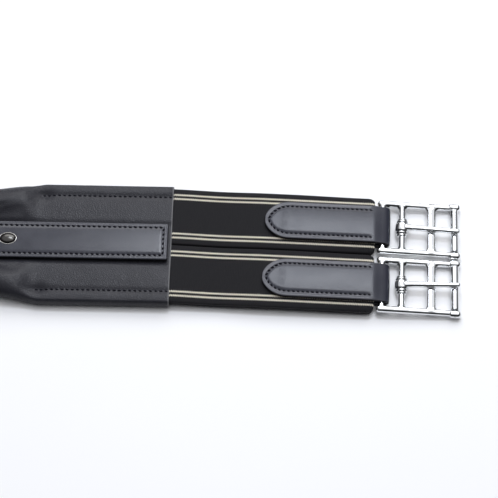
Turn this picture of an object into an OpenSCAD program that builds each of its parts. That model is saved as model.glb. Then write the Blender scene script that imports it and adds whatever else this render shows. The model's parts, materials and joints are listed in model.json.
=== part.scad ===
// Long saddle girth: a padded leather body with a centre strip, and at each end
// two elastic straps that carry roller buckles on leather chapes.
// It lies outer face up, centred on the origin, with its underside on z = 0.

/* [Girth] */
// Overall length, over the buckles
overall_length = 1250; // [1150:10:1400]
// Angle that the straps lie off the body, in the plane of the girth
strap_lie = 1.8; // [0:0.1:2.5]
// Gap left between two segments of the body where it folds
fold_gap = 0.3; // [0.2:0.1:1]

/* [Body] */
// Width of the flat ends
end_width = 80; // [79.5:0.5:86]
// Width behind the elbows
elbow_width = 61; // [58:1:72]
// Width of the middle
middle_width = 82; // [70:1:90]
// Length of each flat end
flat_end_length = 78; // [76:1:90]
// Length over which the padding comes up to its full height
pad_rise_length = 22; // [15:1:35]
// Height of the padding on each side of the centre strip
pad_height = 13.5; // [11:0.5:15]
// Thickness of the soft leather cover
cover_thickness = 1.2; // [1:0.1:1.4]
// Distance of the elbow folds from the middle
elbow_distance = 270; // [250:5:285]

/* [Centre strip and web] */
// Width of the leather strip down the middle
strip_width = 24.4; // [22:0.2:26]
// Thickness of that strip
strip_thickness = 2.2; // [2:0.1:2.6]
// Distance from the end of the strip to the end of the body
strip_end_gap = 2; // [1:0.5:5]
// Width of the web that takes the pull inside the body
web_width = 44; // [38:1:46]
// Thickness of that web
web_thickness = 1; // [0.8:0.1:1.2]
// Length of the oval stud on the strip
stud_length = 11; // [9:0.5:13]
// Width of that stud
stud_width = 8; // [6:0.5:9]
// Distance from the stud to the end of the body
stud_from_end = 98; // [90:1:120]

/* [Elastic straps] */
// Width of an elastic
elastic_width = 38.1; // [36:0.1:38.2]
// Thickness of the two layers of an elastic
elastic_thickness = 4.4; // [4.2:0.1:5]
// Distance between the two straps of an end, centre to centre
strap_pitch = 38.5; // [38.4:0.1:39]
// Length of an elastic outside the body
elastic_free = 122; // [110:1:130]
// Length of an elastic inside the body
elastic_tucked = 73; // [60:1:74]

/* [Chapes] */
// Width of a chape
chape_width = 25; // [22:0.5:26]
// Thickness of its leather
chape_thickness = 2.2; // [2.1:0.1:2.4]
// Distance from the body to the chape's pointed tip
chape_tip = 54; // [50:1:70]
// Length of the pointed part
chape_point = 16; // [10:1:18]

/* [Buckles] */
// Clear width between the rails, for the billet strap
clear_width = 28.4; // [28:0.1:28.6]
// Radius of the rails
rail_radius = 1.9; // [1.7:0.05:1.95]
// Distance from the end of the elastic to the attachment bar
attachment_gap = 4.5; // [4:0.1:6]
// Distance from the attachment bar to the tongue bar
tongue_bar_at = 11.8; // [11.5:0.1:13]
// Distance from the attachment bar to the middle bar
middle_bar_at = 29.5; // [28:0.1:30]
// Distance from the attachment bar to the roller
roller_at = 43.5; // [42:0.1:46]
// Radius of the tongue bar
tongue_bar_radius = 1.8; // [1.5:0.05:1.85]
// Width of the middle bar
middle_bar_width = 5; // [3.4:0.1:5.4]
// Radius of the roller
roller_radius = 2.6; // [2.4:0.05:2.7]
// Radius of the roller's pin
pin_radius = 1.2; // [1:0.05:1.3]
// Radius of the tongue's knuckle
knuckle_radius = 3.7; // [3.4:0.1:3.8]
// Length of the knuckle along its bar
knuckle_length = 12; // [10:0.5:14]
// Radius of the tongue at its root
tongue_radius = 1.45; // [1.2:0.05:1.5]

/* [Hidden] */
$fn = 48;

// which end and which side of the girth a piece is on
right = 1;
left = -1;
back = 1;
front = -1;

// running clearance of a shaft in its hole, and of pieces that pass each other
clearance = 0.1;
side_gap = 0.25;

// the buckle, from its attachment bar outwards
rail_y = clear_width / 2 + rail_radius;
rail_back = 3.4;
boss_radius = 2.3;
boss_y = clear_width / 2 + boss_radius;
boss_reach = 1.5;
middle_bar_thickness = 3;
rail_tip_radius = rail_radius - 0.15;
shank_lift = 2.2;
shank_reach = roller_at - tongue_bar_at + 1.4;
tongue_tip_radius = 1.2;
tongue_tip_lift = roller_radius + 0.2 + tongue_tip_radius;
shank_slope = atan((tongue_tip_lift - shank_lift) / (roller_at - tongue_bar_at));

// heights of the layers
flat_thickness = 2 * cover_thickness + web_thickness + elastic_thickness;
web_top = cover_thickness + web_thickness;
elastic_top = web_top + elastic_thickness;
chape_top = elastic_top + chape_thickness;
bar_z = chape_top / 2;
bar_radius = chape_top / 2 - chape_thickness - clearance;
buckle_droop = asin((bar_z - roller_radius) / roller_at);

// distances along the girth
bar_x = elastic_free + attachment_gap;
strap_reach = (bar_x + roller_at * cos(buckle_droop) + boss_reach + boss_radius) * cos(strap_lie)
    + (strap_pitch / 2 + boss_y) * sin(strap_lie);
body_half = overall_length / 2 - strap_reach;
flat_start = body_half - flat_end_length;
elbow_start = flat_start - 60;
elbow_stop = elbow_distance - 40;
middle_stop = 80;

// the body's section: steps of each arc, radii and stations
arc_steps = 3;
edge_radius_flat = 3;
edge_radius_padded = 12;
turn_radius_flat = 2.7;
turn_radius_padded = 6;
pad_shoulder = 10;
middle_stations = 8;
end_stations = 12;

// the widest that anything inside a flat end can be, from the centre line
mouth_half = end_width / 2 - edge_radius_flat - 0.1;

// the stud's post, the washer under it and the dome on top
post_radius = 1.2;
washer_radius = 3.5;
washer_thickness = 0.8;
washer_bottom = flat_thickness - cover_thickness - washer_thickness;
dome_height = 1.8;

function smooth(t) = let (u = min(max(t, 0), 1)) u * u * (3 - 2 * u);
function mix(a, b, t) = a + (b - a) * t;

// how far the padding is up at a distance from the middle, 0 to 1
function padding(x) = smooth((flat_start - x) / pad_rise_length);

// straight beside the flat end, then eased into the elbow
function shoulder(t) = let (u = min(max(t, 0), 1)) u * smooth(2 * u);

function half_width(x) =
    x > elbow_stop
    ? mix(elbow_width, end_width, shoulder((x - elbow_start) / (flat_start - elbow_start))) / 2
    : mix(middle_width, elbow_width, smooth((x - middle_stop) / (elbow_stop - middle_stop))) / 2;

// half of the body's section at a distance from the middle: [y, z] points from the
// valley under the strip, over the padding and round the edge to the underside
function half_section(x, inset, floor_z) =
    let (
        p = padding(x),
        w = half_width(x) - inset,
        top = mix(flat_thickness, pad_height, p) - inset,
        valley = flat_thickness - inset,
        valley_y = strip_width / 2,
        span = (half_width(x) - valley_y) / 2,
        rise = min(pad_shoulder, span),
        edge = mix(edge_radius_flat, min(edge_radius_padded, span), p) - inset,
        turn = mix(turn_radius_flat, turn_radius_padded, p) - inset,
        side_z = mix(flat_thickness / 2, pad_height * 0.42, p)
    )
    concat(
        [[valley_y, valley]],
        [for (i = [1 : arc_steps]) let (a = 90 * i / arc_steps)
            [valley_y + rise * (1 - cos(a)), valley + (top - valley) * sin(a)]],
        [for (i = [0 : arc_steps]) let (a = 90 * i / arc_steps)
            [w - edge + edge * sin(a) + (i == 0 ? 0.2 : 0), side_z + (top - side_z) * cos(a)]],
        [for (i = [1 : arc_steps]) let (a = 90 * i / arc_steps)
            [w - turn + turn * cos(a), side_z - (side_z - floor_z) * sin(a)]]
    );

// the whole section as a closed loop of points at a station x
function section_loop(x, sign, inset, floor_z) =
    let (half = half_section(x, inset, floor_z), n = len(half))
    concat(
        [for (i = [0 : n - 1]) [sign * x, half[i][0], half[i][1]]],
        [for (i = [n - 1 : -1 : 0]) [sign * x, -half[i][0], half[i][1]]]
    );

function flatten(lists) = [for (l = lists) each l];

// triangles between two neighbouring loops of n points
function band(a, b, n) = [for (j = [0 : n - 1]) let (k = (j + 1) % n)
    each [[a + j, b + j, b + k], [a + j, b + k, a + k]]];

function flipped(faces) = [for (f = faces) [for (j = [len(f) - 1 : -1 : 0]) f[j]]];

// stations along half of the body, from the fold to the next fold or to the end
function middle_xs() = let (first = fold_gap / 2, last = elbow_distance - fold_gap / 2)
    [for (i = [0 : middle_stations - 1]) mix(first, last, i / (middle_stations - 1))];
function end_xs() = let (first = elbow_distance + fold_gap / 2)
    [for (i = [0 : end_stations - 1]) mix(first, flat_start, i / (end_stations - 1))];

module sleeve(xs, sign) {
    loops = [for (x = xs) each [
        section_loop(x, sign, 0, 0),
        section_loop(x, sign, cover_thickness, cover_thickness)]];
    n = len(loops[0]);
    last = 2 * n * (len(xs) - 1);
    walls = [for (i = [0 : len(xs) - 2]) let (a = 2 * n * i)
        each concat(band(a, a + 2 * n, n), flipped(band(a + n, a + 3 * n, n)))];
    faces = concat(walls, flipped(band(0, n, n)), band(last, last + n, n));
    polyhedron(flatten(loops), sign > 0 ? flipped(faces) : faces);
}

module filling(xs, sign) {
    loops = [for (x = xs) section_loop(x, sign, cover_thickness, web_top)];
    n = len(loops[0]);
    last = n * (len(xs) - 1);
    walls = [for (i = [0 : len(xs) - 2]) each band(n * i, n * (i + 1), n)];
    caps = [[for (j = [0 : n - 1]) j], [for (j = [n - 1 : -1 : 0]) last + j]];
    faces = concat(walls, caps);
    polyhedron(flatten(loops), sign > 0 ? flipped(faces) : faces);
}

module body_bar(from_x, to_x, sign, width, bottom, height) {
    translate([sign > 0 ? from_x : -to_x, -width / 2, bottom])
        cube([to_x - from_x, width, height]);
}

module post_hole(radius, bottom) {
    translate([body_half - stud_from_end, 0, bottom])
        cylinder(h = flat_thickness + strip_thickness, r = radius);
}

module middle_cover(sign) color([0.28, 0.28, 0.30]) sleeve(middle_xs(), sign);

module middle_foam(sign) color([0.75, 0.72, 0.6]) filling(middle_xs(), sign);

module middle_web(sign) color([0.85, 0.84, 0.8])
    body_bar(fold_gap / 2, elbow_distance - fold_gap / 2, sign, web_width,
        cover_thickness, web_thickness);

module middle_strip(sign) color([0.33, 0.33, 0.38])
    body_bar(fold_gap / 2, elbow_distance - fold_gap / 2, sign, strip_width,
        flat_thickness, strip_thickness);

module end_cover(sign) color([0.28, 0.28, 0.30]) difference() {
    sleeve(concat(end_xs(), [body_half]), sign);
    if (sign > 0) post_hole(post_radius, web_top);
}

module end_foam(sign) color([0.75, 0.72, 0.6]) difference() {
    filling([for (x = end_xs()) if (x < flat_start - 1) x], sign);
    if (sign > 0) post_hole(washer_radius + clearance, washer_bottom - clearance);
}

module end_web(sign) color([0.85, 0.84, 0.8])
    body_bar(elbow_distance + fold_gap / 2, body_half - strip_end_gap, sign, web_width,
        cover_thickness, web_thickness);

module end_strip(sign) color([0.33, 0.33, 0.38]) difference() {
    body_bar(elbow_distance + fold_gap / 2, body_half - strip_end_gap, sign, strip_width,
        flat_thickness, strip_thickness);
    if (sign > 0) post_hole(post_radius, web_top);
}

// an oval dome on the strip, with a post riveted over a washer in the foam
module strip_stud() color([0.75, 0.74, 0.7])
    translate([body_half - stud_from_end, 0, 0]) {
        strip_top = flat_thickness + strip_thickness;
        translate([0, 0, washer_bottom])
            cylinder(h = strip_top - washer_bottom + dome_height / 2, r = post_radius);
        hull() for (end = [-1, 1]) translate([end * (stud_length - stud_width) / 2, 0, strip_top]) {
            cylinder(h = dome_height / 3, r = stud_width / 2, $fn = 32);
            cylinder(h = dome_height * 0.8, r = stud_width * 0.36, $fn = 32);
            cylinder(h = dome_height, r = stud_width * 0.2, $fn = 32);
        }
    }

module stud_washer() color([0.7, 0.7, 0.7])
    translate([body_half - stud_from_end, 0, washer_bottom]) difference() {
        cylinder(h = washer_thickness, r = washer_radius);
        translate([0, 0, -1]) cylinder(h = washer_thickness + 2, r = post_radius);
    }

// an end of the girth: x runs outwards from the end of the body
module at_end(end) {
    rotate(end > 0 ? 0 : 180) translate([body_half, 0, 0]) children();
}

// a strap: x runs outwards from the end of the body along the strap's centre line
module at_strap(end, side) {
    at_end(end) rotate(-strap_lie) translate([0, end * side * strap_pitch / 2, 0]) children();
}

// a buckle: x runs outwards from the attachment bar, in the plane of the frame
module at_buckle(end, side) {
    at_strap(end, side) translate([bar_x, 0, bar_z]) rotate([0, buckle_droop, 0]) children();
}

module cross_bar(x, z, length, radius) {
    translate([x, 0, z]) rotate([90, 0, 0])
        cylinder(h = length, r = radius, center = true);
}

// a point of a strap's plane, seen from the end of the body
function laid(x, y) = [x * cos(strap_lie) + y * sin(strap_lie), y * cos(strap_lie) - x * sin(strap_lie)];

// two layers of webbing, folded at the outer end and sewn into the body at the other
module elastic(end, side) color([0.12, 0.12, 0.14]) {
    s = end * side;
    inner_y = s * (strap_pitch - elastic_width) / 2;
    outer_y = s * (strap_pitch + elastic_width) / 2;
    round_radius = elastic_thickness / 2 - 0.05;
    round_x = elastic_free - round_radius;
    at_end(end) translate([0, 0, web_top]) linear_extrude(elastic_thickness)
        polygon([[-elastic_tucked, inner_y], [0, inner_y],
            laid(0.1, inner_y), laid(round_x, inner_y),
            laid(round_x, outer_y), laid(0.1, outer_y),
            [0, s * mouth_half], [-elastic_tucked, s * mouth_half]]);
    at_strap(end, side)
        cross_bar(round_x, web_top + elastic_thickness / 2, elastic_width, round_radius);
}

// a leather strip that goes round the buckle's bar, with a pointed leg on each face
module chape(end, side) color([0.36, 0.36, 0.42]) at_strap(end, side) {
    for (z = [0, elastic_top]) translate([0, 0, z]) linear_extrude(chape_thickness) chape_leg();
    difference() {
        cross_bar(bar_x, bar_z, chape_width, bar_z);
        cross_bar(bar_x, bar_z, chape_width + 2, bar_z - chape_thickness);
        translate([bar_x - 2 * bar_z, -chape_width, -1])
            cube([2 * bar_z, 2 * chape_width, chape_top + 2]);
    }
}

module chape_leg() {
    // two arcs meet at the tip, each tangent to a side of the leg
    arc = (pow(chape_point, 2) + pow(chape_width / 2, 2)) / chape_width;
    point_end = chape_tip + chape_point;
    translate([point_end, -chape_width / 2]) square([bar_x - point_end, chape_width]);
    intersection() {
        translate([point_end, chape_width / 2 - arc]) circle(r = arc, $fn = 96);
        translate([point_end, arc - chape_width / 2]) circle(r = arc, $fn = 96);
        translate([chape_tip, -chape_width / 2]) square([chape_point, chape_width]);
    }
}

module rail() {
    translate([rail_radius - rail_back, 0, 0]) {
        sphere(r = rail_radius);
        rotate([0, 90, 0]) cylinder(h = middle_bar_at - rail_radius + rail_back, r = rail_radius);
    }
    translate([middle_bar_at, 0, 0]) rotate([0, 90, 0])
        cylinder(h = roller_at - middle_bar_at, r1 = rail_radius, r2 = rail_tip_radius);
}

module boss() {
    for (x = [-boss_reach, boss_reach]) translate([x, 0, 0]) sphere(r = boss_radius);
    rotate([0, 90, 0]) cylinder(h = 2 * boss_reach, r = boss_radius, center = true);
}

module frame(end, side) color([0.82, 0.83, 0.85]) at_buckle(end, side) difference() {
    union() {
        for (s = [-1, 1]) {
            translate([0, s * rail_y, 0]) rail();
            translate([roller_at, s * boss_y, 0]) boss();
        }
        cross_bar(0, 0, 2 * rail_y, bar_radius);
        cross_bar(tongue_bar_at, 0, 2 * rail_y, tongue_bar_radius);
        for (s = [-1, 1])
            cross_bar(middle_bar_at + s * (middle_bar_width - middle_bar_thickness) / 2, 0,
                2 * rail_y, middle_bar_thickness / 2);
        translate([middle_bar_at, 0, 0])
            cube([middle_bar_width - middle_bar_thickness, 2 * rail_y, middle_bar_thickness],
                center = true);
    }
    cross_bar(roller_at, 0, 3 * rail_y, pin_radius);
}

module pin(end, side) color([0.7, 0.7, 0.72]) at_buckle(end, side)
    cross_bar(roller_at, 0, 2 * (boss_y + boss_radius), pin_radius);

module roller(end, side) color([0.85, 0.86, 0.88]) at_buckle(end, side)
    difference() {
        cross_bar(roller_at, 0, clear_width - 2 * side_gap, roller_radius);
        cross_bar(roller_at, 0, clear_width + 2, pin_radius + clearance);
    }

module tongue(end, side) color([0.85, 0.86, 0.88])
    at_buckle(end, side) translate([tongue_bar_at, 0, 0]) difference() {
        union() {
            cross_bar(0, 0, knuckle_length * 0.5, knuckle_radius);
            cross_bar(0, 0, knuckle_length * 0.75, knuckle_radius - 0.6);
            cross_bar(0, 0, knuckle_length, knuckle_radius - 1.1);
            translate([0, 0, shank_lift]) rotate([0, 90 - shank_slope, 0]) {
                cylinder(h = shank_reach, r1 = tongue_radius, r2 = tongue_tip_radius);
                translate([0, 0, shank_reach]) sphere(r = tongue_tip_radius);
            }
        }
        cross_bar(0, 0, knuckle_length + 2, tongue_bar_radius + clearance);
    }

middle_cover(right);  // right_middle_cover
middle_foam(right);  // right_middle_foam
middle_web(right);  // right_middle_web
middle_strip(right);  // right_middle_strip
middle_cover(left);  // left_middle_cover
middle_foam(left);  // left_middle_foam
middle_web(left);  // left_middle_web
middle_strip(left);  // left_middle_strip
end_cover(right);  // right_end_cover
end_foam(right);  // right_end_foam
end_web(right);  // right_end_web
end_strip(right);  // right_end_strip
end_cover(left);  // left_end_cover
end_foam(left);  // left_end_foam
end_web(left);  // left_end_web
end_strip(left);  // left_end_strip
strip_stud();
stud_washer();
elastic(right, back);  // right_back_elastic
chape(right, back);  // right_back_chape
frame(right, back);  // right_back_frame
pin(right, back);  // right_back_pin
roller(right, back);  // right_back_roller
tongue(right, back);  // right_back_tongue
elastic(right, front);  // right_front_elastic
chape(right, front);  // right_front_chape
frame(right, front);  // right_front_frame
pin(right, front);  // right_front_pin
roller(right, front);  // right_front_roller
tongue(right, front);  // right_front_tongue
elastic(left, back);  // left_back_elastic
chape(left, back);  // left_back_chape
frame(left, back);  // left_back_frame
pin(left, back);  // left_back_pin
roller(left, back);  // left_back_roller
tongue(left, back);  // left_back_tongue
elastic(left, front);  // left_front_elastic
chape(left, front);  // left_front_chape
frame(left, front);  // left_front_frame
pin(left, front);  // left_front_pin
roller(left, front);  // left_front_roller
tongue(left, front);  // left_front_tongue
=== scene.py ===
import json
import math

import bmesh
import bpy
import numpy as np
from mathutils import Matrix, Vector, noise


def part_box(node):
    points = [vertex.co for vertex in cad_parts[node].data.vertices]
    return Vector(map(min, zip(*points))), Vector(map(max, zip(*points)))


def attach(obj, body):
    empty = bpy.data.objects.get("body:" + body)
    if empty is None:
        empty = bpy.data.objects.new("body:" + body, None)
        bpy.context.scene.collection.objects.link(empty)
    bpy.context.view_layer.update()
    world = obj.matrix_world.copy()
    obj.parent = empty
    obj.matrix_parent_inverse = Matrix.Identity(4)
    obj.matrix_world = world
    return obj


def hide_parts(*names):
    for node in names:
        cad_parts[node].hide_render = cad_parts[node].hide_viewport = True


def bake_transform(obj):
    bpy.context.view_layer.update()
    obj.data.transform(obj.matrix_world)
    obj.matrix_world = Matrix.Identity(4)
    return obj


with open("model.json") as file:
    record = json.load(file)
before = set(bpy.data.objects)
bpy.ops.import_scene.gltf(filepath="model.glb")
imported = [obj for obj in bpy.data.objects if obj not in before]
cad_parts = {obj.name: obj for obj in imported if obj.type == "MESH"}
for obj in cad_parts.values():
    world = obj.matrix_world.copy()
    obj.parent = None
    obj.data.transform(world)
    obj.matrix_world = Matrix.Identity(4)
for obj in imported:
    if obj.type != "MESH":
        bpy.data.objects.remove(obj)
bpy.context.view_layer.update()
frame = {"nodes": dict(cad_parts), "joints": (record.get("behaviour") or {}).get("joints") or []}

MM = 0.001
JOINTS = {joint["name"]: joint for joint in frame["joints"]}
STRAPS = ("right_back", "right_front", "left_back", "left_front")

# ---- the body: widths, where its shapes start and stop, and the padding's simulation ----
BODY_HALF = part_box("right_end_cover")[1][0] / MM
END_HALF = 40.0
ELBOW_HALF = 30.5
MIDDLE_HALF = 41.0
FLAT_START = BODY_HALF - 78
ELBOW_START = FLAT_START - 60
ELBOW_STOP = 230.0
MIDDLE_STOP = 80.0
FLAT_TOP = 7.8
PAD_TOP = 13.5
PAD_RISE = 34.0
LOBE_REACH = 5.0
HILL_REACH = 16.0
DIMPLE = 1.3
GROOVE = 0.9
SEAM_Y = 31.7
COVER_THICKNESS = 1.2
LIP_DEPTH = 12.0
CLOTH_SHRINK = -0.002
CLOTH_PRESSURE = 4.0
CLOTH_FRAMES = 20
SWELLING_CAP = 0.5
PIECE_CUT = 135.0

# ---- the strip and its stud ----------------------------------------------
STRIP_HALF = 12.2
STRIP_THICKNESS = 2.2
STRIP_END = BODY_HALF - 2
LEATHER_CROWN = 0.4
STRIP_STITCH_INSET = 2.9
STRIP_STITCH_PITCH = 3.1
STUD = (BODY_HALF - 98, 0, FLAT_TOP + STRIP_THICKNESS)

# ---- the straps ----------------------------------------------------------
ELASTIC_HALF = 19.05
ELASTIC_BOTTOM = 2.2
ELASTIC_THICKNESS = 4.4
ELASTIC_FREE = 122.0
ELASTIC_TUCKED = 25.0
CHAPE_HALF = 12.5
CHAPE_THICKNESS = 2.2
CHAPE_TIP = 54.0
CHAPE_POINT = 16.0
BAR_X = 126.5
BAR_Z = 4.4
CHAPE_STITCH_INSET = 3.3
CHAPE_STITCH_PITCH = 2.82
LEG = BAR_X - CHAPE_TIP
LOOP_RADIUS = BAR_Z - CHAPE_THICKNESS
LOOP_STRETCH = 1.28
LOOP_LENGTH = math.pi * (LOOP_RADIUS + CHAPE_THICKNESS / 2)
CHAPE_LENGTH = 2 * LEG + LOOP_LENGTH
LOOP_SKIVE = 0.42

# ---- the buckles, from the attachment bar outwards -------------------------
RAIL_Y = 16.1
RAIL_RADIUS = 1.9
RAIL_BACK = 3.4
BOSS_Y = 16.5
BOSS_RADIUS = 2.3
BOSS_REACH = 1.5
TONGUE_BAR_X = 11.8
TONGUE_BAR_RADIUS = 1.8
MIDDLE_BAR_X = 29.5
MIDDLE_BAR_HALF = 2.5
ROLLER_X = 43.5
ROLLER_RADIUS = 2.6
PIN_RADIUS = 1.2
SHANK_TIP_RADIUS = 1.5
CASTING_GROWTH = 0.3
KNUCKLE_STRETCH = 1.08
TONGUE_PLAY = {"right_back": -3.0, "right_front": 1.5, "left_back": 2.0, "left_front": -1.0}
DROOP = math.asin((BAR_Z - ROLLER_RADIUS) / ROLLER_X)

# ---- camera and studio --------------------------------------------------------
CAMERA_AZIMUTH = math.radians(1.205)
CAMERA_ELEVATION = math.radians(62.84)
CAMERA_DISTANCE = 0.95
CAMERA_LENS = 113.7
TENT_LEAN = math.radians(20)
TENT_AXIS = (0, math.sin(TENT_LEAN), math.cos(TENT_LEAN))
FLOOR_SIZE = 12000.0

QUARTER = [math.pi / 2 * i / 4 for i in range(1, 5)]


def smooth(t):
    u = np.clip(t, 0, 1)
    return u * u * (3 - 2 * u)


def mix(a, b, t):
    return a + (b - a) * t


# ---- mesh making -----------------------------------------------------------
def make_object(name, points, faces, inset=None):
    """A smooth mesh object from points in millimetres. Where the points lie at rest is
    kept on the mesh, so that grain and weave move with it."""
    mesh = bpy.data.meshes.new(name)
    mesh.from_pydata([tuple(np.asarray(p) * MM) for p in points], [], faces)
    rest = mesh.attributes.new("rest", "FLOAT_VECTOR", "POINT")
    rest.data.foreach_set("vector", np.asarray(points, np.float32).ravel())
    if inset is not None:
        rim = mesh.attributes.new("inset", "FLOAT", "POINT")
        rim.data.foreach_set("value", np.asarray(inset, np.float32))
    mesh.polygons.foreach_set("use_smooth", [True] * len(mesh.polygons))
    obj = bpy.data.objects.new(name, mesh)
    bpy.context.scene.collection.objects.link(obj)
    return obj


def tidy_mesh(obj, distance=0.01):
    """Merges points that coincide and turns every face outwards."""
    work = bmesh.new()
    work.from_mesh(obj.data)
    bmesh.ops.remove_doubles(work, verts=work.verts, dist=distance * MM)
    bmesh.ops.recalc_face_normals(work, faces=work.faces)
    work.to_mesh(obj.data)
    work.free()
    return obj


def loft(loops, closed=True, caps=False):
    """Quads between loops that all have the same number of points."""
    n = len(loops[0])
    turn = n if closed else n - 1
    points = [p for loop in loops for p in loop]
    faces = []
    for i in range(len(loops) - 1):
        for j in range(turn):
            k = (j + 1) % n
            faces.append((i * n + j, (i + 1) * n + j, (i + 1) * n + k, i * n + k))
    if caps:
        last = n * (len(loops) - 1)
        faces.append(tuple(range(n)))
        faces.append(tuple(reversed(range(last, last + n))))
    return points, faces


def plate(name, outline, profile, place):
    """A flat piece of leather or webbing: one loop for each (inset, height) of its
    profile, put in place by place(s, v, height)."""
    loops = []
    insets = []
    for inset, height in profile:
        loop = [place(s, v, height) for s, v in outline(inset)]
        loops.append(loop)
        insets += [inset] * len(loop)
    points, faces = loft(loops)
    return tidy_mesh(make_object(name, points, faces, insets))


def lathe(profile, steps=32, stretch=1.0):
    """Points and faces of a turned shape round z, from (radius, z) pairs. stretch makes it
    oval along x."""
    loops = []
    for radius, z in profile:
        angles = [2 * math.pi * i / steps for i in range(steps)]
        loops.append([(radius * stretch * math.cos(a), radius * math.sin(a), z) for a in angles])
    return loft(loops, caps=True)


def moved(shape, matrix):
    points, faces = shape
    return [tuple(matrix @ Vector(p)) for p in points], faces


def joined(shapes):
    points = []
    faces = []
    for shape_points, shape_faces in shapes:
        start = len(points)
        points += shape_points
        faces += [tuple(start + i for i in face) for face in shape_faces]
    return points, faces


def cut_by_x(obj, name, low, high):
    """A new object with the faces of obj whose middles lie between low and high."""
    work = bmesh.new()
    work.from_mesh(obj.data)
    outside = [f for f in work.faces if not low <= f.calc_center_median().x / MM < high]
    bmesh.ops.delete(work, geom=outside, context="FACES")
    mesh = bpy.data.meshes.new(name)
    work.to_mesh(mesh)
    work.free()
    part = bpy.data.objects.new(name, mesh)
    bpy.context.scene.collection.objects.link(part)
    return part


def drop(obj):
    mesh = obj.data
    bpy.data.objects.remove(obj)
    bpy.data.meshes.remove(mesh)


# ---- materials ---------------------------------------------------------------
class Paint:
    """A material and short calls to build its nodes."""

    def __init__(self, name):
        self.material = bpy.data.materials.new(name)
        self.material.use_nodes = True
        self.tree = self.material.node_tree
        self.shader = self.tree.nodes["Principled BSDF"]

    def set(self, **values):
        for key, value in values.items():
            self.shader.inputs[key.replace("_", " ")].default_value = value

    def node(self, kind, **settings):
        node = self.tree.nodes.new("ShaderNode" + kind)
        for key, value in settings.items():
            setattr(node, key, value)
        return node

    def feed(self, socket, value):
        if isinstance(value, (int, float, tuple)):
            socket.default_value = value
        else:
            self.tree.links.new(value, socket)

    def rest(self):
        return self.node("Attribute", attribute_name="rest").outputs["Vector"]

    def inset(self):
        return self.node("Attribute", attribute_name="inset").outputs["Fac"]

    def math(self, operation, a, b=0.0, c=0.0):
        node = self.node("Math", operation=operation)
        for socket, value in zip(node.inputs, (a, b, c)):
            self.feed(socket, value)
        return node.outputs[0]

    def noise(self, vector, scale, detail=3.0, roughness=0.5):
        node = self.node("TexNoise")
        self.feed(node.inputs["Vector"], vector)
        node.inputs["Scale"].default_value = scale
        node.inputs["Detail"].default_value = detail
        node.inputs["Roughness"].default_value = roughness
        return node.outputs["Fac"]

    def cells(self, vector, scale, feature="DISTANCE_TO_EDGE"):
        node = self.node("TexVoronoi", feature=feature)
        self.feed(node.inputs["Vector"], vector)
        node.inputs["Scale"].default_value = scale
        return node.outputs["Distance"]

    def ramp(self, value, low, high, to_low=0.0, to_high=1.0):
        node = self.node("MapRange")
        for socket, v in zip(node.inputs, (value, low, high, to_low, to_high)):
            self.feed(socket, v)
        return node.outputs["Result"]

    def blend(self, share, a, b):
        node = self.node("Mix", data_type="RGBA")
        for socket, value in zip((node.inputs[0], node.inputs[6], node.inputs[7]), (share, a, b)):
            self.feed(socket, value)
        return node.outputs[2]

    def bump(self, height, distance, strength=1.0):
        node = self.node("Bump")
        self.feed(node.inputs["Height"], height)
        node.inputs["Distance"].default_value = distance * MM
        node.inputs["Strength"].default_value = strength
        self.feed(self.shader.inputs["Normal"], node.outputs["Normal"])


def cover_leather():
    """Soft fine-grained leather: small pebbled cells, soft creases and uneven dye."""
    paint = Paint("cover_leather")
    rest = paint.rest()
    patches = paint.noise(rest, 0.06, 3)
    grain = paint.cells(rest, 0.85)
    pores = paint.noise(rest, 2.2, 4, 0.65)
    dark = (0.017, 0.017, 0.022, 1)
    light = (0.031, 0.031, 0.0375, 1)
    worn = paint.ramp(grain, 0.05, 0.35)
    colour = paint.blend(patches, dark, light)
    colour = paint.blend(paint.math("MULTIPLY", worn, 0.25), colour, (0.050, 0.050, 0.058, 1))
    split = paint.node("SeparateXYZ")
    paint.feed(split.inputs[0], rest)
    lip = paint.ramp(paint.math("ABSOLUTE", split.outputs["X"]), BODY_HALF - 0.9, BODY_HALF - 0.5)
    colour = paint.blend(paint.math("MULTIPLY", lip, 0.8), colour, (0.16, 0.16, 0.165, 1))
    paint.feed(paint.shader.inputs["Base Color"], colour)
    paint.feed(paint.shader.inputs["Roughness"], paint.ramp(pores, 0.3, 0.7, 0.25, 0.34))
    height = paint.math("ADD", paint.ramp(grain, 0.0, 0.3), paint.math("MULTIPLY", pores, 0.7))
    paint.bump(height, 0.07)
    paint.set(Specular_IOR_Level=0.18)
    return paint.material


def bridle_leather(name, rim_share, shine):
    """Firm waxed leather: smooth, satin, with a paler rim, dyed edges and painted shade darkening the stitch
    channel.
    """
    paint = Paint(name)
    rest = paint.rest()
    inset = paint.inset()
    clouds = paint.noise(rest, 0.11, 4)
    pores = paint.noise(rest, 3.4, 3, 0.6)
    base = paint.blend(clouds, (0.022, 0.023, 0.033, 1), (0.034, 0.036, 0.050, 1))
    rim = paint.ramp(inset, 2.0, 3.0, 1.0, 0.0)
    colour = paint.blend(paint.math("MULTIPLY", rim, rim_share), base, (0.10, 0.10, 0.115, 1))
    edge = paint.ramp(inset, 0.1, 0.5, 1.0, 0.0)
    colour = paint.blend(edge, colour, (0.006, 0.006, 0.008, 1))
    # Painted shade: the stitch channel's groove is darkened in the base colour.
    channel = paint.math("SUBTRACT", paint.ramp(inset, 2.45, 2.75), paint.ramp(inset, 3.3, 3.7))
    colour = paint.blend(paint.math("MULTIPLY", channel, 0.3), colour, (0.012, 0.012, 0.02, 1))
    paint.feed(paint.shader.inputs["Base Color"], colour)
    paint.feed(paint.shader.inputs["Roughness"], paint.ramp(clouds, 0.3, 0.7, 0.18, 0.24))
    paint.bump(pores, 0.03)
    paint.set(Specular_IOR_Level=shine)
    return paint.material


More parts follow.
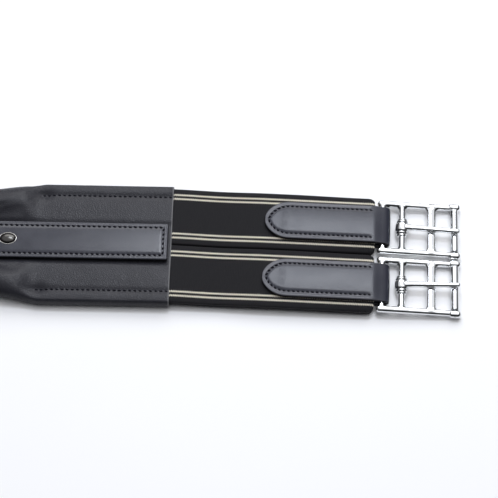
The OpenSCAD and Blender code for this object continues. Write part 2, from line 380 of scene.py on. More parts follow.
def elastic_web():
    """Woven elastic: fine ribs across, and two pairs of pale lines with saw-tooth edges."""
    paint = Paint("elastic_web")
    rest = paint.rest()
    split = paint.node("SeparateXYZ")
    paint.feed(split.inputs[0], rest)
    along = split.outputs["X"]
    across = paint.math("ABSOLUTE", split.outputs["Y"])
    rib = paint.math("PINGPONG", along, 0.5)
    cord = paint.math("PINGPONG", split.outputs["Y"], 0.35)
    slanted = paint.math("MULTIPLY_ADD", split.outputs["Y"], 0.5, along)
    tooth = paint.math("PINGPONG", slanted, 0.69)
    reach = paint.math("MULTIPLY_ADD", tooth, 1.3, 0.03)
    mask = None
    for line in (14.6, 11.9):
        away = paint.math("ABSOLUTE", paint.math("SUBTRACT", across, line))
        line_mask = paint.math("LESS_THAN", away, reach)
        mask = line_mask if mask is None else paint.math("MAXIMUM", mask, line_mask)
    fuzz = paint.noise(rest, 2.2, 4, 0.7)
    black = paint.blend(fuzz, (0.003, 0.003, 0.0045, 1), (0.010, 0.0095, 0.012, 1))
    cream = paint.blend(fuzz, (0.55, 0.50, 0.40, 1), (0.86, 0.81, 0.68, 1))
    paint.feed(paint.shader.inputs["Base Color"], paint.blend(mask, black, cream))
    height = paint.math("ADD", paint.math("MULTIPLY", rib, 1.6), paint.math("MULTIPLY", cord, 0.8))
    height = paint.math("ADD", height, paint.math("MULTIPLY", mask, 0.5))
    paint.bump(height, 0.16)
    paint.set(Roughness=0.75, Sheen_Weight=0.08, Specular_IOR_Level=0.22)
    return paint.material


def thread():
    """Waxed black thread with a twist."""
    paint = Paint("thread")
    rest = paint.rest()
    twist = paint.node("TexWave")
    paint.feed(twist.inputs["Vector"], rest)
    twist.inputs["Scale"].default_value = 1.2
    twist.inputs["Distortion"].default_value = 1.5
    strands = twist.outputs["Fac"]
    colour = paint.blend(strands, (0.002, 0.002, 0.005, 1), (0.008, 0.008, 0.016, 1))
    paint.feed(paint.shader.inputs["Base Color"], colour)
    paint.bump(strands, 0.08)
    paint.set(Roughness=0.65, Specular_IOR_Level=0.2)
    return paint.material


def polished(name, colour, roughness):
    """Polished cast metal: bright, with faint ripples from the buffing wheel."""
    paint = Paint(name)
    rest = paint.rest()
    ripple = paint.noise(rest, 0.25, 1)
    haze = paint.noise(rest, 3.0, 4, 0.6)
    tint = paint.blend(haze, tuple(c * 0.93 for c in colour) + (1,), colour + (1,))
    paint.feed(paint.shader.inputs["Base Color"], tint)
    paint.feed(paint.shader.inputs["Roughness"], paint.ramp(haze, 0.3, 0.7, roughness * 0.7, roughness * 1.3))
    paint.bump(ripple, 0.006)
    paint.set(Metallic=1.0)
    return paint.material


def floor_paint():
    paint = Paint("floor")
    place = paint.node("TexCoord").outputs["Object"]
    tone = paint.noise(place, 3.0, 2)
    colour = paint.blend(tone, (0.90, 0.90, 0.91, 1), (0.93, 0.93, 0.94, 1))
    paint.feed(paint.shader.inputs["Base Color"], colour)
    paint.set(Roughness=0.9, Specular_IOR_Level=0.0)
    return paint.material


def wear(obj, material):
    """Gives a piece its material."""
    obj.data.materials.clear()
    obj.data.materials.append(material)
    return obj


# ---- the cover -----------------------------------------------------------------
def half_width(x):
    near_end = np.clip((x - ELBOW_START) / (FLAT_START - ELBOW_START), 0, 1)
    at_end = mix(ELBOW_HALF, END_HALF, near_end * smooth(2 * near_end))
    at_middle = mix(MIDDLE_HALF, ELBOW_HALF, smooth((x - MIDDLE_STOP) / (ELBOW_STOP - MIDDLE_STOP)))
    return np.where(x > ELBOW_STOP, at_end, at_middle)


def padding(x, y):
    """How far the padding is up, 0 to 1: round at its end, and further along beside the strip."""
    out = np.clip((np.abs(y) - STRIP_HALF) / (SEAM_Y - STRIP_HALF), 0, 1)
    into = np.clip((FLAT_START + LOBE_REACH * (1 - out) - x) / PAD_RISE, 0, 1)
    return (1 - (1 - into) ** 2.4) * smooth(2.5 * into)


def ridge(across, middle, reach, height):
    """A soft ridge, or a furrow where height is negative, along a line."""
    return height * np.exp(-(((across - middle) / reach) ** 2))


def cover_top(x, y):
    """Height of the cover's upper face at x along and y across: the padded lobes, the seam
    with its furrow and two swells, the dimple where the seam starts, and a groove beside
    the strip."""
    beside = np.abs(y) - STRIP_HALF
    seam = np.abs(y) - SEAM_Y
    pad = padding(x, y)
    flat = (1 - pad) ** 3
    width = half_width(x) - STRIP_HALF
    hill = np.sin(np.clip(beside / HILL_REACH, 0, 1) * math.pi / 2)
    crown = 1 - 0.2 * ((beside - 0.6 * width) / (0.5 * width)) ** 2
    height = FLAT_TOP + (PAD_TOP - FLAT_TOP) * pad * hill * crown
    height = height + flat * ridge(seam, 0, 1.4, -0.6)
    height = height + flat * ridge(seam, 4.0, 2.2, 0.25)
    height = height + flat * ridge(seam, -9.0, 6.0, 0.2)
    height = height + ridge(x, FLAT_START + 0.5, 4.0, 1) * ridge(seam, 0, 3.4, -DIMPLE)
    height = height + ridge(beside, 0, 2.0, -GROOVE)
    return np.where(beside < 0, FLAT_TOP - GROOVE, height)


def cover_section(x):
    """Half of the cover's section at x: (y, z) from its middle over the top, round the
    edge and along the underside."""
    width = float(half_width(x))
    pad = float(padding(x, SEAM_Y))
    edge = mix(2.2, min(12.0, (width - STRIP_HALF) / 2), pad)
    turn = mix(2.7, 6.5, pad)
    side = mix(FLAT_TOP * 0.5, PAD_TOP * 0.44, pad)
    top_y = np.concatenate([np.linspace(0, STRIP_HALF - 0.3, 4), np.linspace(STRIP_HALF, width - edge, 30)])
    top_z = cover_top(x, top_y)
    arc = np.linspace(0, math.pi / 2, 9)[1:]
    shoulder = top_z[-1] - side
    edge_y = width - edge + edge * np.sin(arc)
    edge_z = side + shoulder * np.cos(arc)
    turn_y = width - turn + turn * np.cos(arc)
    turn_z = side - side * np.sin(arc)
    under_y = np.linspace(width - turn, 0, 9)[1:]
    under_z = np.zeros(8)
    return np.concatenate([top_y, edge_y, turn_y, under_y]), np.concatenate([top_z, edge_z, turn_z, under_z])


def cover_loop(sign, x, inset=0.0):
    """The whole section as an open loop of points from under the middle and back there."""
    y, z = cover_section(x)
    if inset:
        slope_y, slope_z = np.gradient(y), np.gradient(z)
        length = np.hypot(slope_y, slope_z) + 1e-9
        y, z = y + inset * slope_z / length, z - inset * slope_y / length
    y = np.concatenate([-y[::-1], y[1:]])
    z = np.concatenate([z[::-1], z[1:]])
    return [(sign * x, b, c) for b, c in zip(y, z)]


def cover_stations():
    """Places along half of the body, closer together where its shape changes."""
    plain = np.arange(0, FLAT_START - 36, 3.0)
    fine = np.arange(FLAT_START - 36, BODY_HALF - 1.0, 1.5)
    return list(plain) + list(fine) + [BODY_HALF - 0.6, BODY_HALF - 0.2]


def make_cover():
    """The whole cover as one skin, turned in at both mouths."""
    half = cover_stations()
    inner = COVER_THICKNESS
    lip = [(BODY_HALF, 0.35), (BODY_HALF, 0.85), (BODY_HALF - 0.3, inner), (BODY_HALF - LIP_DEPTH, inner)]
    places = [(1, x, inset) for x, inset in [(x, 0.0) for x in half] + lip]
    ends = [(-1, x, inset) for _, x, inset in places[:0:-1]]
    loops = np.array([cover_loop(*place) for place in ends + places])
    loops += swelling(loops)
    points, faces = loft(loops, closed=False)
    cover = make_object("cover", points, faces)
    soften(cover)
    return cover


def every(count, step):
    """Every step-th number below count, and the last one."""
    return np.unique(np.append(np.arange(0, count, step), count - 1))


def is_held(x, y, z):
    """Where the cover is sewn or glued down: under the strip, at the flat ends and below."""
    return abs(y) < STRIP_HALF + 1.5 or abs(x) > FLAT_START - 4 or z < 1.0


def swelling(loops):
    """How far each point of the cover moves when its skin, held where it is sewn, is blown
    up as cloth. It is worked out on every second or third point."""
    rows, cols = every(loops.shape[0], 2), every(loops.shape[1], 3)
    coarse = loops[np.ix_(rows, cols)]
    points, faces = loft(coarse, closed=False)
    skin = make_object("swelling", points, faces)
    held = skin.vertex_groups.new(name="held")
    held.add([i for i, p in enumerate(points) if is_held(*p)], 1.0, "REPLACE")
    cloth = skin.modifiers.new("swelling", "CLOTH")
    cloth.settings.quality = 4
    cloth.settings.mass = 0.02
    cloth.settings.tension_stiffness = 15
    cloth.settings.compression_stiffness = 15
    cloth.settings.bending_stiffness = 0.3
    cloth.settings.shrink_min = CLOTH_SHRINK
    cloth.settings.use_pressure = True
    cloth.settings.uniform_pressure_force = CLOTH_PRESSURE
    cloth.settings.vertex_group_mass = "held"
    cloth.settings.effector_weights.gravity = 0
    scene = bpy.context.scene
    for frame_number in range(1, CLOTH_FRAMES + 1):
        scene.frame_set(frame_number)
    blown = skin.evaluated_get(bpy.context.evaluated_depsgraph_get()).data
    after = np.zeros(len(blown.vertices) * 3)
    blown.vertices.foreach_get("co", after)
    moved_by = after.reshape(coarse.shape) / MM - coarse
    scene.frame_set(1)
    drop(skin)
    length = np.linalg.norm(moved_by, axis=2, keepdims=True)
    moved_by *= np.minimum(1, SWELLING_CAP / np.maximum(length, 1e-6))
    return spread(moved_by, rows, cols, loops.shape)


def spread(values, rows, cols, shape):
    """Values known on some rows and columns of a grid, spread evenly over the whole of it."""
    along = np.zeros((shape[0], len(cols), 3))
    whole = np.zeros(shape)
    for k in range(3):
        for j in range(len(cols)):
            along[:, j, k] = np.interp(np.arange(shape[0]), rows, values[:, j, k])
        for i in range(shape[0]):
            whole[i, :, k] = np.interp(np.arange(shape[1]), cols, along[i, :, k])
    for _ in range(3):
        whole[1:-1] = (whole[:-2] + 2 * whole[1:-1] + whole[2:]) / 4
        whole[:, 1:-1] = (whole[:, :-2] + 2 * whole[:, 1:-1] + whole[:, 2:]) / 4
    return whole


def soften(obj):
    """Lets the leather lie a little unevenly, more where it is padded."""
    for vertex in obj.data.vertices:
        x, y, z = (c / MM for c in vertex.co)
        if z < 1.0:
            continue
        pad = float(padding(abs(x), y))
        broad = noise.noise(Vector((x, y, 0)) / 23)
        small = noise.noise(Vector((x, y, 40)) / 8)
        rise = mix(0.12, 0.28, pad) * broad + mix(0.08, 0.1, pad) * small
        under_strip = abs(y) < STRIP_HALF + 0.5
        vertex.co.z += 0 if under_strip else rise * MM * min(1.0, (z - 1.0) / 4)


# ---- stitches --------------------------------------------------------------------
def stitch(length, thickness):
    """One stitch along x: a short thread that dips at both ends."""
    loops = []
    for i in range(7):
        t = i / 6
        bow = math.sin(math.pi * t)
        radius = thickness / 2 * (0.35 + 0.65 * bow ** 0.5)
        centre = thickness * 0.45 * (bow - 0.55)
        along = length * (t - 0.5)
        angles = [2 * math.pi * j / 8 for j in range(8)]
        loops.append([(along, radius * math.cos(a), centre + radius * math.sin(a)) for a in angles])
    return loft(loops, caps=True)


def stitch_row(places, length, thickness, slant):
    """Stitches at (point, direction, up) places, each turned by slant degrees in its plane."""
    one = stitch(length, thickness)
    shapes = []
    for point, direction, up in places:
        along = Vector(direction).normalized()
        up = Vector(up).normalized()
        side = up.cross(along)
        turn = math.radians(slant)
        x_axis = along * math.cos(turn) + side * math.sin(turn)
        y_axis = up.cross(x_axis)
        matrix = Matrix((x_axis, y_axis, up)).transposed().to_4x4()
        matrix.translation = Vector(point)
        shapes.append(moved(one, matrix))
    return joined(shapes)


def strip_stitches():
    """Two rows down the strip, and one across each end between them."""
    top = FLAT_TOP + STRIP_THICKNESS - 0.15
    row_y = STRIP_HALF - STRIP_STITCH_INSET
    end_x = STRIP_END - STRIP_STITCH_INSET
    count = round(2 * end_x / STRIP_STITCH_PITCH)
    step = 2 * end_x / count
    places = []
    for side in (-1, 1):
        for i in range(count):
            places.append(((-end_x + (i + 0.5) * step, side * row_y, top), (1, 0, 0), (0, 0, 1)))
    across = round(2 * row_y / STRIP_STITCH_PITCH)
    for sign in (-1, 1):
        for i in range(across):
            y = -row_y + (i + 0.5) * 2 * row_y / across
            places.append(((sign * end_x, y, top), (0, 1, 0), (0, 0, 1)))
    return stitch_row(places, 2.6, 1.25, -26)


def seam_stitches():
    """The seams along both edges of each flat end."""
    places = []
    count = 26
    for sign in (-1, 1):
        for side in (-1, 1):
            for i in range(count):
                x = mix(FLAT_START - 0.8, BODY_HALF - 1.8, i / (count - 1))
                z = float(cover_top(x, SEAM_Y))
                places.append(((sign * x, side * SEAM_Y, z + 0.05), (1, 0, 0), (0, 0, 1)))
    return stitch_row(places, 2.3, 0.95, -10)


# ---- the strip ----------------------------------------------------------------------
def strip_outline(inset):
    """A long band with slightly rounded corners, as points round its edge."""
    end = STRIP_END - inset
    half = STRIP_HALF - inset
    corner = min(max(1.1 - inset, 0.02), max(half, 0.001))
    xs = np.linspace(-end + corner, end - corner, 300)
    points = [(x, -half) for x in xs]
    points += [(end - corner + corner * math.sin(a), -half + corner - corner * math.cos(a)) for a in QUARTER]
    points += [(end, y) for y in np.linspace(-half + corner, half - corner, 9)[1:-1]]
    points += [(end - corner + corner * math.cos(a), half - corner + corner * math.sin(a)) for a in QUARTER]
    return points + [(-x, -y) for x, y in points]


def leather_profile(half, thickness, stitch_inset):
    """(inset, height) of a leather piece: flat below, rounded edges, a creased rim, and a
    channel for the stitches."""
    top = thickness
    return [
        (half, 0.0), (half / 2, 0.0), (0.5, 0.0), (0.15, 0.12), (0.0, 0.45),
        (0.0, top - 0.75), (0.12, top - 0.38), (0.42, top - 0.12), (0.85, top - 0.02),
        (1.3, top), (1.55, top - 0.13), (1.8, top - 0.02), (stitch_inset - 0.75, top),
        (stitch_inset - 0.3, top - 0.2), (stitch_inset + 0.3, top - 0.2), (stitch_inset + 0.8, top),
        (mix(stitch_inset, half, 0.25), top), (mix(stitch_inset, half, 0.5), top),
        (mix(stitch_inset, half, 0.75), top), (half, top),
    ]


def crowned(v, h, half, thickness):
    """The outer face of firm leather is a little fuller along its middle."""
    share = max(0.0, h / thickness * 2 - 1)
    return h + LEATHER_CROWN * share * (1 - (v / half) ** 2)


def make_strip():
    profile = leather_profile(STRIP_HALF, STRIP_THICKNESS, STRIP_STITCH_INSET)
    return plate("strip", strip_outline, profile,
                 lambda s, v, h: (s, v, FLAT_TOP + crowned(v, h, STRIP_HALF, STRIP_THICKNESS)))


def make_stud():
    """A plain oval stud: a bright rim round a dark dome."""
    rim = [(0.01, 0), (4.0, 0), (4.0, 0.3), (3.9, 0.55), (3.7, 0.62), (3.55, 0.5), (3.5, 0.35), (0.01, 0.35)]
    dome = [(0.01, 0.3), (3.45, 0.3), (3.3, 0.7), (2.7, 1.2), (1.8, 1.55), (0.8, 1.73), (0.01, 1.75)]
    stand = Matrix.Translation(STUD)
    rim_points, rim_faces = moved(lathe(rim, 48, 1.375), stand)
    dome_points, dome_faces = moved(lathe(dome, 48, 1.375), stand)
    rim_piece = tidy_mesh(make_object("stud_rim", rim_points, rim_faces))
    dome_piece = tidy_mesh(make_object("stud_dome", dome_points, dome_faces))
    return rim_piece, dome_piece


# ---- the straps -----------------------------------------------------------------------
def strap_matrix(strap):
    """From a strap's own frame, x outwards from the end of the body, to the row frame."""
    along = Vector(JOINTS[strap + "_stretch"]["axis"]).normalized()
    up = Vector((0, 0, 1))
    bar = Vector(JOINTS[strap + "_buckle_swivel"]["pos_m"])
    matrix = Matrix((along, up.cross(along), up)).transposed().to_4x4()
    matrix.translation = bar - along * BAR_X * MM - up * BAR_Z * MM
    return matrix


def buckle_matrix(strap):
    """From a buckle's own frame, x outwards from its attachment bar, to the row frame."""
    to_bar = Matrix.Translation((BAR_X * MM, 0, BAR_Z * MM))
    return strap_matrix(strap) @ to_bar @ Matrix.Rotation(DROOP, 4, "Y")


def elastic_outline(inset):
    """A strap with rounded corners at its outer end."""
    half = ELASTIC_HALF - inset
    end = ELASTIC_FREE - inset
    start = -ELASTIC_TUCKED + inset
    corner = min(max(4.0 - inset, 0.05), max(half, 0.01))
    points = [(x, -half) for x in np.linspace(start, end - corner, 110)]
    points += [(end - corner + corner * math.sin(a), -half + corner - corner * math.cos(a)) for a in QUARTER]
    points += [(end, y) for y in np.linspace(-half + corner, half - corner, 9)[1:-1]]
    points += [(end - corner + corner * math.cos(a), half - corner + corner * math.sin(a)) for a in QUARTER]
    points += [(x, half) for x in np.linspace(end - corner, start, 110)]
    return points + [(start, y) for y in np.linspace(half, -half, 9)[1:-1]]


def lie_of_elastic(s, v, h):
    """The webbing sags between the body and the chape, and its edges droop beside it."""
    sag = 0.7 * math.sin(math.pi * min(max((s - 1) / 56, 0), 1)) ** 2
    beside = max(abs(v) - CHAPE_HALF, 0) / (ELASTIC_HALF - CHAPE_HALF)
    droop = 0.9 * beside ** 2 * float(smooth((s - 70) / 45))
    fold = float(smooth((s - ELASTIC_FREE + 3) / 3))
    middle = ELASTIC_THICKNESS / 2
    return (s, v, ELASTIC_BOTTOM - sag - droop + mix(h, middle + (h - middle) * 0.86, fold))


def make_elastic():
    """Two layers of webbing, with a groove between them along the edge."""
    top = ELASTIC_THICKNESS
    edge = [(1.0, 0.03), (0.35, 0.3), (0.05, 0.85), (0.08, 1.6), (0.45, 2.1)]
    lower = [(inset, 0) for inset in (ELASTIC_HALF, 9, 3)] + edge
    upper = [(inset, top - height) for inset, height in reversed(edge)]
    upper += [(inset, top) for inset in (3, 6, 9, 13, ELASTIC_HALF)]
    return plate("elastic", elastic_outline, lower + upper, lie_of_elastic)


def chape_end(inset, steps=16):
    """The pointed end of a chape from its tip to the side: two arcs with a softened nose."""
    arc = (CHAPE_POINT ** 2 + CHAPE_HALF ** 2) / (2 * CHAPE_HALF)
    offset = arc - CHAPE_HALF
    radius = arc - inset
    start = math.asin(min(1.0, offset / radius))
    points = []
    for i in range(steps + 1):
        a = mix(start, math.pi / 2, i / steps)
        points.append([CHAPE_POINT - radius * math.cos(a), radius * math.sin(a) - offset])
    nose = max(1.6 - inset * 0.6, 0.0)
    for point in points:
        point[0] += nose * math.exp(-point[1] / 2.2) * 0.8
    return points


def chape_outline(inset):
    """The chape laid out flat: pointed at both ends."""
    tip = chape_end(inset)
    half = tip[-1][1]
    sides = np.linspace(CHAPE_POINT, CHAPE_LENGTH - CHAPE_POINT, 130)[1:-1]
    upper = [tuple(p) for p in tip] + [(s, half) for s in sides]
    upper += [(CHAPE_LENGTH - s, v) for s, v in reversed(tip)]
    return upper + [(s, -v) for s, v in reversed(upper[1:-1])]


def round_the_bar(s, v, h):
    """From the chape laid out flat to its place round the buckle's bar, skived thinner there."""
    from_end = min(s, CHAPE_LENGTH - s)
    plain = float(smooth((from_end - LEG + 9) / 3))
    if h > CHAPE_THICKNESS - 0.3:
        h = mix(h, CHAPE_THICKNESS, plain)
    if s < CHAPE_LENGTH / 2:
        h = crowned(v, h, CHAPE_HALF, CHAPE_THICKNESS * float(1 + 3 * smooth(1 - from_end / 16)))
    h *= 1 - LOOP_SKIVE * float(smooth((from_end - LEG + 6) / 7))
    if s <= LEG:
        return (CHAPE_TIP + s, v, BAR_Z + LOOP_RADIUS + h)
    if s >= LEG + LOOP_LENGTH:
        return (BAR_X - (s - LEG - LOOP_LENGTH), v, BAR_Z - LOOP_RADIUS - h)
    angle = math.pi / 2 - (s - LEG) / (LOOP_RADIUS + CHAPE_THICKNESS / 2)
    reach = LOOP_RADIUS + h
    return (BAR_X + LOOP_STRETCH * reach * math.cos(angle), v, BAR_Z + reach * math.sin(angle))


def make_chape():
    """A chape. Its pale rim and the painted shade in its stitch channel fade out beside the loop."""
    profile = leather_profile(CHAPE_HALF, CHAPE_THICKNESS, CHAPE_STITCH_INSET)
    chape = plate("chape", chape_outline, profile, round_the_bar)
    insets = chape.data.attributes["inset"].data
    for vertex, inset in zip(chape.data.vertices, insets):
        beyond = smooth((vertex.co.x / MM - ELASTIC_FREE + 4) / 4)
        if inset.value > 0.5:
            inset.value += 6 * float(beyond)
    return chape


def chape_stitches():
    """Stitches round the pointed leg, on both faces."""
    line = chape_end(CHAPE_STITCH_INSET, 40)
    half = line[-1][1]
    line += [[s, half] for s in np.arange(CHAPE_POINT + 0.5, ELASTIC_FREE - CHAPE_TIP - 1.0, 0.5)]
    line = [[s, -v] for s, v in reversed(line[1:])] + line
    line = np.array(line)
    steps = np.hypot(*np.diff(line, axis=0).T)
    run = np.concatenate([[0], np.cumsum(steps)])
    count = round(run[-1] / CHAPE_STITCH_PITCH)
    places = []
    for top in (True, False):
        for i in range(count):
            at = (i + 0.5) * run[-1] / count
            s, v = np.interp(at, run, line[:, 0]), np.interp(at, run, line[:, 1])
            s2, v2 = np.interp(at + 0.4, run, line[:, 0]), np.interp(at + 0.4, run, line[:, 1])
            height = CHAPE_THICKNESS - (0.15 if top else 0.4)
            z = BAR_Z + LOOP_RADIUS + height if top else BAR_Z - LOOP_RADIUS - height
            up = (0, 0, 1) if top else (0, 0, -1)
            places.append(((CHAPE_TIP + s, v, z), (s2 - s, v2 - v, 0), up))
    return stitch_row(places, 2.45, 1.15, -26)


# ---- the buckles --------------------------------------------------------------------------
def rod(start, end, radius, end_radius=None, round_start=0.0, round_end=0.0):
    """A rod from start to end, with its ends rounded over the given lengths."""
    start, end = Vector(start), Vector(end)
    length = (end - start).length
    end_radius = radius if end_radius is None else end_radius
    steps = np.linspace(0, math.pi / 2, 7)
    tip = 0.02
    profile = [(tip, 0.0)]
    profile += [(max(radius * math.sin(a), tip), round_start * (1 - math.cos(a))) for a in steps[1:]]
    profile += [(max(end_radius * math.cos(a), tip), length - round_end * (1 - math.sin(a))) for a in steps]
    turn = Vector((0, 0, 1)).rotation_difference(end - start).to_matrix().to_4x4()
    turn.translation = start
    return moved(lathe(profile, 28), turn)


def flattened(shape, share):
    points, faces = shape
    return [(x, y, z * share) for x, y, z in points], faces


def fused(name, shapes, voxel, rounds):
    """One casting from overlapping shapes: fused, with soft fillets where they meet."""
    points, faces = joined(shapes)
    rough = make_object(name + "_rough", points, faces)
    remesh = rough.modifiers.new("fuse", "REMESH")
    remesh.mode = "VOXEL"
    remesh.voxel_size = voxel * MM
    soft = rough.modifiers.new("fillet", "SMOOTH")
    soft.factor = 0.5
    soft.iterations = rounds
    graph = bpy.context.evaluated_depsgraph_get()
    mesh = bpy.data.meshes.new_from_object(rough.evaluated_get(graph))
    drop(rough)
    mesh.name = name
    co = np.zeros(len(mesh.vertices) * 3, np.float32)
    mesh.vertices.foreach_get("co", co)
    if "rest" in mesh.attributes:
        mesh.attributes.remove(mesh.attributes["rest"])
    rest = mesh.attributes.new("rest", "FLOAT_VECTOR", "POINT")
    rest.data.foreach_set("vector", co / MM)
    mesh.polygons.foreach_set("use_smooth", [True] * len(mesh.polygons))
    obj = bpy.data.objects.new(name, mesh)
    bpy.context.scene.collection.objects.link(obj)
    return obj


def make_frame():
    """Two rails with rounded rear ends and swollen bosses, joined by three bars. What the
    fillets' smoothing takes off is given as growth beforehand."""
    grow = CASTING_GROWTH
    shapes = []
    bosses = []
    reach = BOSS_REACH + BOSS_RADIUS
    for side in (-1, 1):
        y = side * RAIL_Y
        shapes.append(rod((-RAIL_BACK, y, 0), (ROLLER_X, y, 0), RAIL_RADIUS + grow, RAIL_RADIUS, 2.0))
        bosses.append(rod((ROLLER_X - reach, side * BOSS_Y, 0), (ROLLER_X + reach, side * BOSS_Y, 0),
                          BOSS_RADIUS + 0.1, None, 1.7, 2.2))
    shapes.append(rod((0, -RAIL_Y, 0), (0, RAIL_Y, 0), 2.1))
    shapes.append(rod((TONGUE_BAR_X, -RAIL_Y, 0), (TONGUE_BAR_X, RAIL_Y, 0), TONGUE_BAR_RADIUS + grow))
    bar_edge = MIDDLE_BAR_HALF - 1.5
    for shift in np.linspace(-bar_edge, bar_edge, 4):
        x = MIDDLE_BAR_X + shift
        shapes.append(rod((x, -RAIL_Y, 0), (x, RAIL_Y, 0), 1.5 + grow))
    for x, radius in ((TONGUE_BAR_X, TONGUE_BAR_RADIUS), (MIDDLE_BAR_X, MIDDLE_BAR_HALF)):
        for side in (-1, 1):
            foot = side * (RAIL_Y - 4.4)
            shapes.append(flattened(rod((x, side * RAIL_Y, 0), (x, foot, 0), radius + 2.2, radius), 0.5))
    casting = fused("casting", shapes, 0.26, 26)
    points, faces = joined([mesh_shape(casting)] + bosses)
    drop(casting)
    return make_object("frame", points, faces)


def make_tongue():
    """A stepped knuckle round the tongue bar, and a long shank that rests on the roller."""
    belly = [(3.85, 0.9), (3.8, 1.8), (3.55, 2.5), (3.1, 2.8), (2.85, 2.95)]
    collar = [(2.95, 3.15), (3.3, 3.35), (3.35, 3.8), (3.1, 4.3), (2.6, 4.5), (2.45, 4.65)]
    bead = [(2.7, 4.85), (2.8, 5.2), (2.6, 5.75), (2.2, 6.1), (1.9, 6.1)]
    half = belly + collar + bead
    barrel = [(radius, -y) for radius, y in reversed(half)] + half
    turn = Matrix.Rotation(math.pi / 2, 4, "X")
    turn.translation = (TONGUE_BAR_X, 0, 0)
    knuckle = moved(lathe(barrel, 40, KNUCKLE_STRETCH), turn)
    rest_z = ROLLER_RADIUS + 0.2 + SHANK_TIP_RADIUS
    tip = (ROLLER_X + 1.4 + SHANK_TIP_RADIUS, 0, rest_z)
    shank = rod((TONGUE_BAR_X + 0.5, 0, 1.95), tip, 1.9, SHANK_TIP_RADIUS + 0.1, 1.2, 1.4)
    root = rod((TONGUE_BAR_X + 0.4, 0, 1.5), (TONGUE_BAR_X + 8.5, 0, 2.5), 2.4, 1.75, 1.5, 1.0)
    blade = fused("blade", [shank, root], 0.24, 12)
    points, faces = joined([knuckle, mesh_shape(blade)])
    drop(blade)
    return make_object("tongue", points, faces)


def mesh_shape(obj):
    """The points, in millimetres, and faces of an object."""
    return [tuple(v.co / MM) for v in obj.data.vertices], [tuple(p.vertices) for p in obj.data.polygons]


def make_roller():
    half = RAIL_Y - RAIL_RADIUS - 0.25
    r = ROLLER_RADIUS
    bore = PIN_RADIUS + 0.1
    end = [(r, half - 0.8), (r, half - 0.3), (r - 0.09, half - 0.09), (r - 0.3, half), (r - 0.5, half),
           (bore, half), (bore, half - 0.4)]
    profile = [(radius, -y) for radius, y in reversed(end)] + end
    turn = Matrix.Rotation(math.pi / 2, 4, "X")
    turn.translation = (ROLLER_X, 0, 0)
    points, faces = moved(lathe(profile, 48), turn)
    return tidy_mesh(make_object("roller", points, faces))


def make_pin():
    """The roller's pin, with its ends peened over on the bosses."""
    half = BOSS_Y + BOSS_RADIUS + 0.05
    end = [(PIN_RADIUS, half - 0.8), (1.35, half - 0.4), (1.25, half - 0.12), (0.8, half), (0.02, half)]
    profile = [(radius, -y) for radius, y in reversed(end)] + end
    turn = Matrix.Rotation(math.pi / 2, 4, "X")
    turn.translation = (ROLLER_X, 0, 0)
    points, faces = moved(lathe(profile, 32), turn)
    return tidy_mesh(make_object("pin", points, faces))


def set_copy(master, name, matrix, index):
    """A copy of a piece for one strap, with its own stretch of grain."""
    mesh = master.data.copy()
    rest = mesh.attributes["rest"]
    values = np.zeros(len(mesh.vertices) * 3, np.float32)
    rest.data.foreach_get("vector", values)
    values[2::3] += 90.0 * index
    rest.data.foreach_set("vector", values)
    obj = bpy.data.objects.new(name, mesh)
    bpy.context.scene.collection.objects.link(obj)
    obj.matrix_world = matrix
    return obj


# ---- putting it together ------------------------------------------------------------------
def lay_body(leather, bridle, sewing):
    """Cuts the cover, the strip and their stitches into three lengths."""
    cover = make_cover()
    strip = make_strip()
    seams = make_object("seams", *seam_stitches())
    rows = make_object("rows", *strip_stitches())
    far = BODY_HALF + 50
    lengths = (("left", -far, -PIECE_CUT), ("middle", -PIECE_CUT, PIECE_CUT), ("right", PIECE_CUT, far))
    nodes = {"left": ("left_end",), "middle": ("left_middle", "right_middle"), "right": ("right_end",)}
    for where, low, high in lengths:
        soft = wear(cut_by_x(cover, where + "_cover_skin", low, high), leather)
        band = wear(cut_by_x(strip, where + "_strip_leather", low, high), bridle)
        sewn = wear(cut_by_x(rows, where + "_strip_stitches", low, high), sewing)
        pieces = [soft, band, sewn]
        if where != "middle":
            edge = cut_by_x(seams, where + "_edge_stitches", low, high)
            pieces.append(wear(edge, sewing))
        for piece in pieces:
            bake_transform(piece)
        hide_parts(*[n + part for n in nodes[where] for part in ("_cover", "_foam", "_web")])
        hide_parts(*[n + "_strip" for n in nodes[where]])
    for piece in (cover, strip, seams, rows):
        drop(piece)


def about_tongue_bar(degrees):
    """The tongue lies a few degrees off the middle, as far as its play on the bar lets it."""
    bar = Matrix.Translation((TONGUE_BAR_X * MM, 0, 0))
    return bar @ Matrix.Rotation(math.radians(degrees), 4, "Z") @ bar.inverted()


def lay_straps(bridle, sewing, webbing, steel):
    """Copies of one set of pieces on all four straps."""
    masters = {
        "elastic": make_elastic(),
        "chape": make_chape(),
        "stitches": make_object("stitches", *chape_stitches()),
        "frame": make_frame(),
        "pin": make_pin(),
        "roller": make_roller(),
        "tongue": make_tongue(),
    }
    for index, strap in enumerate(STRAPS):
        flat = strap_matrix(strap)
        hung = buckle_matrix(strap)
        elastic = set_copy(masters["elastic"], strap + "_webbing", flat, index)
        wear(elastic, webbing)
        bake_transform(elastic)
        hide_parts(strap + "_elastic")
        chape = set_copy(masters["chape"], strap + "_chape_leather", flat, index)
        wear(chape, bridle)
        sewn = set_copy(masters["stitches"], strap + "_chape_stitches", flat, index)
        wear(sewn, sewing)
        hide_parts(strap + "_chape")
        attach(chape, strap + "_chape")
        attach(sewn, strap + "_chape")
        for part, body in (("frame", "buckle"), ("pin", "buckle"), ("roller", "roller"), ("tongue", "tongue")):
            place = hung @ about_tongue_bar(TONGUE_PLAY[strap]) if part == "tongue" else hung
            piece = set_copy(masters[part], strap + "_" + part + "_steel", place, index)
            wear(piece, steel)
            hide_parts(strap + "_" + part)
            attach(piece, strap + "_" + body)
    for master in masters.values():
        drop(master)


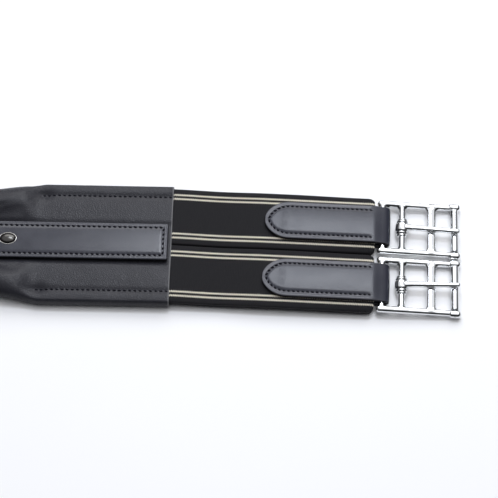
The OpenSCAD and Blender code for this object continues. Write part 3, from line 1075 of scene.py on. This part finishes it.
def lay_stud(nickel, dark_nickel):
    """The stud, and a metal finish for the hidden washer behind it."""
    rim, dome = make_stud()
    for piece, metal in ((rim, nickel), (dome, dark_nickel)):
        wear(piece, metal)
        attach(piece, "end_right")
    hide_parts("strip_stud")
    washer = frame["nodes"]["stud_washer"]
    washer.data.materials.clear()
    washer.data.materials.append(nickel)


# ---- floor, light and camera ------------------------------------------------------------------
def lay_floor():
    """A plain level floor, cut into large squares."""
    steps = np.linspace(-FLOOR_SIZE / 2, FLOOR_SIZE / 2, 13)
    points, faces = loft([[(x, y, -0.05) for y in steps] for x in steps], closed=False)
    floor = make_object("floor", points, faces)
    floor.data.flip_normals()
    floor.data.materials.append(floor_paint())


def soft_light(name, place, aim, size, power, colour=(1, 1, 1)):
    light = bpy.data.lights.new(name, "AREA")
    light.shape = "RECTANGLE"
    light.size, light.size_y = size
    light.energy = power
    light.color = colour
    lamp = bpy.data.objects.new(name, light)
    bpy.context.scene.collection.objects.link(lamp)
    lamp.location = place
    lamp.rotation_euler = (Vector(aim) - Vector(place)).to_track_quat("-Z", "Y").to_euler()
    return lamp


def studio_sky():
    """A pale tent, leaning a little to the back, that darkens towards the horizon. The dark
    band draws the outlines of the steel."""
    world = bpy.data.worlds.new("studio")
    world.use_nodes = True
    tree = world.node_tree
    place = tree.nodes.new("ShaderNodeTexCoord")
    towards = tree.nodes.new("ShaderNodeVectorMath")
    towards.operation = "DOT_PRODUCT"
    towards.inputs[1].default_value = TENT_AXIS
    height = tree.nodes.new("ShaderNodeMapRange")
    height.interpolation_type = "SMOOTHSTEP"
    tree.links.new(place.outputs["Generated"], towards.inputs[0])
    tree.links.new(towards.outputs["Value"], height.inputs["Value"])
    height.inputs["From Min"].default_value = 0.48
    height.inputs["From Max"].default_value = 0.88
    height.inputs["To Min"].default_value = 0.03
    height.inputs["To Max"].default_value = 1.05
    tree.links.new(height.outputs["Result"], tree.nodes["Background"].inputs["Strength"])
    tree.nodes["Background"].inputs["Color"].default_value = (0.96, 0.97, 1.0, 1)
    return world


def light_studio():
    """The key light from the back draws the shadows, the top light runs along the padding, and
    the sheen light lies where the level leather mirrors it."""
    bpy.context.scene.world = studio_sky()
    soft_light("key", (0.55, 1.30, 1.0), (0.45, 0, 0), (1.6, 0.9), 13)
    soft_light("top", (0.78, 0.32, 1.40), (0.55, 0, 0), (1.1, 0.45), 3.0)
    soft_light("sheen", (0.57, 0.51, 1.10), (0.5, 0, 0), (0.44, 0.22), 4.6, (0.86, 0.91, 1.0))
    bpy.context.scene.view_settings.view_transform = "Standard"


def place_camera():
    """Looks down on the right end, a little beyond the end of the body."""
    target = Vector(((BODY_HALF + 46.5) * MM, 0.0011, 0))
    level = math.cos(CAMERA_ELEVATION)
    sideways = math.sin(CAMERA_AZIMUTH) * level
    towards = -math.cos(CAMERA_AZIMUTH) * level
    back = Vector((sideways, towards, math.sin(CAMERA_ELEVATION)))
    camera = bpy.data.objects.new("camera", bpy.data.cameras.new("camera"))
    bpy.context.scene.collection.objects.link(camera)
    camera.data.sensor_width = 36
    camera.data.lens = CAMERA_LENS
    camera.location = target + back * CAMERA_DISTANCE
    camera.rotation_euler = (-back).to_track_quat("-Z", "Y").to_euler()
    camera.data.clip_start = 0.01
    bpy.context.scene.camera = camera


place_camera()
light_studio()
lay_floor()
LEATHER = cover_leather()
STRIP_LEATHER = bridle_leather("strip_leather", 0.3, 0.34)
CHAPE_LEATHER = bridle_leather("chape_leather", 0.8, 0.25)
WEBBING = elastic_web()
THREAD = thread()
STEEL = polished("steel", (0.77, 0.78, 0.79), 0.07)
NICKEL = polished("nickel", (0.45, 0.44, 0.42), 0.25)
DARK_NICKEL = polished("dark_nickel", (0.07, 0.068, 0.065), 0.2)
lay_body(LEATHER, STRIP_LEATHER, THREAD)
lay_straps(CHAPE_LEATHER, THREAD, WEBBING, STEEL)
lay_stud(NICKEL, DARK_NICKEL)
